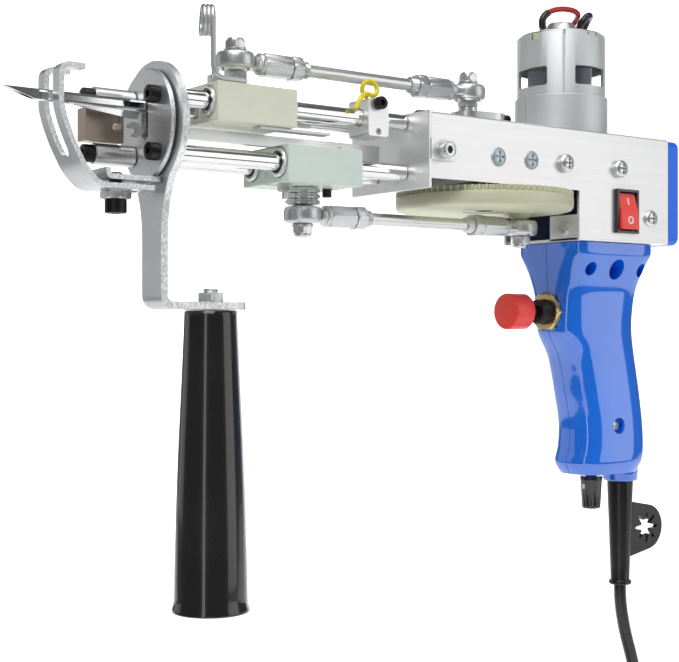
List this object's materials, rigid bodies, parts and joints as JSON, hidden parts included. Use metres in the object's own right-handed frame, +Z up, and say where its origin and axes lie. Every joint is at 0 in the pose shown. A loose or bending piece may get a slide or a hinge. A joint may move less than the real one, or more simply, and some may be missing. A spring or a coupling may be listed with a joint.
{
  "type": "handheld tufting machine",
  "caption": "Handheld rug tufting machine: motor and crank on a square tube, rods carrying needle and cutter carriages, front handle, pistol grip with trigger, and a hanging coiled cord.",
  "frame": {"origin": "middle of the rear grip, where the hand holds the machine", "axes": "+X rearwards from the needle to the rear cover, +Y across to the far side, +Z up"},
  "size_m": [0.3561, 0.0818, 0.4319],
  "materials": {
    "brushed aluminium": "brushed",
    "zinc plate": "galvanised",
    "bright steel": "satin",
    "chrome": "polished",
    "black steel": "black oxide",
    "brass": "satin",
    "olive nylon": "machined",
    "green nylon": "machined",
    "cream nylon": "machined",
    "bronze": "aged",
    "black plastic": "glossy",
    "blue plastic": "glossy",
    "red plastic": "glossy",
    "yellow plastic": "satin",
    "black rubber": "satin",
    "red wire": "satin",
    "armature": "laminated steel and copper"
  },
  "bodies": {
    "frame": {"housing_shell": "brushed aluminium", "rear_cover": "blue plastic", "rod_holder_plate": "brushed aluminium", "front_disc": "zinc plate", "front_bracket": "zinc plate", "front_handle": "black plastic", "rod_upper_near": "chrome", "rod_upper_far": "chrome", "rod_lower_near": "chrome", "rod_lower_far": "chrome", "spacer_upper": "bright steel", "spacer_lower": "bright steel", "guide_block": "bronze", "motor_can": "bright steel", "motor_flux_ring": "zinc plate", "motor_end_cap": "zinc plate", "motor_wire_red": "red wire", "motor_wire_black": "black rubber", "motor_mount_plate": "zinc plate", "bearing_block": "brushed aluminium", "rod_clamp": "brushed aluminium", "cable_loop": "yellow plastic", "grip_shell_near": "blue plastic", "grip_shell_far": "blue plastic", "rocker_housing": "black plastic", "trigger_bushing": "black steel", "strain_relief": "black rubber", "cord": "black rubber", "cord_coil": "black rubber", "cord_socket": "black plastic", "foot_screw": "black steel"},
    "crank": {"main_shaft": "bright steel", "drive_gear": "cream nylon", "upper_crank": "bright steel"},
    "motor_rotor": {"rotor": "armature", "pinion": "brass"},
    "needle_carriage": {"upper_block": "olive nylon", "upper_bush_near": "black plastic", "upper_bush_far": "black plastic", "needle": "chrome", "yarn_guide": "zinc plate", "upper_pin_front": "bright steel"},
    "cutter_carriage": {"lower_block": "green nylon", "lower_bush_near": "black plastic", "lower_bush_far": "black plastic", "cutter_bar": "bright steel", "scissor_blade": "bright steel", "lower_pin_front": "bright steel"},
    "upper_link": {"upper_link_rod": "bright steel", "upper_rod_end_front": "zinc plate", "upper_rod_end_rear": "zinc plate", "upper_pin_rear": "bright steel"},
    "lower_link": {"lower_link_rod": "bright steel", "lower_rod_end_front": "zinc plate", "lower_rod_end_rear": "zinc plate", "lower_pin_rear": "bright steel"},
    "foot": {"presser_foot": "zinc plate"},
    "trigger": {"trigger_button": "red plastic"},
    "switch_key": {"rocker": "red plastic"},
    "knob": {"speed_knob": "black plastic"}
  },
  "joints": [
    {"name": "crank_spin", "type": "hinge", "parent": "frame", "child": "crank", "pos_m": [-0.0735, 0, 0.0865], "axis": [0, 0, 1], "continuous": true},
    {"name": "motor_spin", "type": "hinge", "parent": "frame", "child": "motor_rotor", "pos_m": [-0.0235, 0, 0.106], "axis": [0, 0, 1], "continuous": true},
    {"name": "needle_slide", "type": "slide", "parent": "frame", "child": "needle_carriage", "axis": [1, 0, 0], "range_m": [0, 0.02]},
    {"name": "cutter_slide", "type": "slide", "parent": "frame", "child": "cutter_carriage", "axis": [1, 0, 0], "range_m": [-0.046, 0]},
    {"name": "upper_link_swing", "type": "hinge", "parent": "needle_carriage", "child": "upper_link", "pos_m": [-0.2085, 0, 0.1393], "axis": [0, 0, 1], "range_deg": [-4.6, 4.6]},
    {"name": "lower_link_swing", "type": "hinge", "parent": "cutter_carriage", "child": "lower_link", "pos_m": [-0.1755, 0, 0.0787], "axis": [0, 0, 1], "range_deg": [-10.6, 10.6]},
    {"name": "foot_slide", "type": "slide", "parent": "frame", "child": "foot", "axis": [1, 0, 0], "range_m": [-0.006, 0.0026]},
    {"name": "trigger_press", "type": "slide", "parent": "frame", "child": "trigger", "axis": [1, 0, 0], "range_m": [0, 0.004], "stiffness_N_per_m": 600},
    {"name": "switch_tilt", "type": "hinge", "parent": "frame", "child": "switch_key", "pos_m": [-0.006, -0.0266, 0.087], "axis": [1, 0, 0], "range_deg": [0, 22]},
    {"name": "speed_turn", "type": "hinge", "parent": "frame", "child": "knob", "pos_m": [-0.0025, 0, -0.0415], "axis": [0, 0, 1], "range_deg": [-135, 135]}
  ],
  "couplings": [
    {"joint": "motor_spin", "follows": "crank_spin", "ratio": -4}
  ]
}
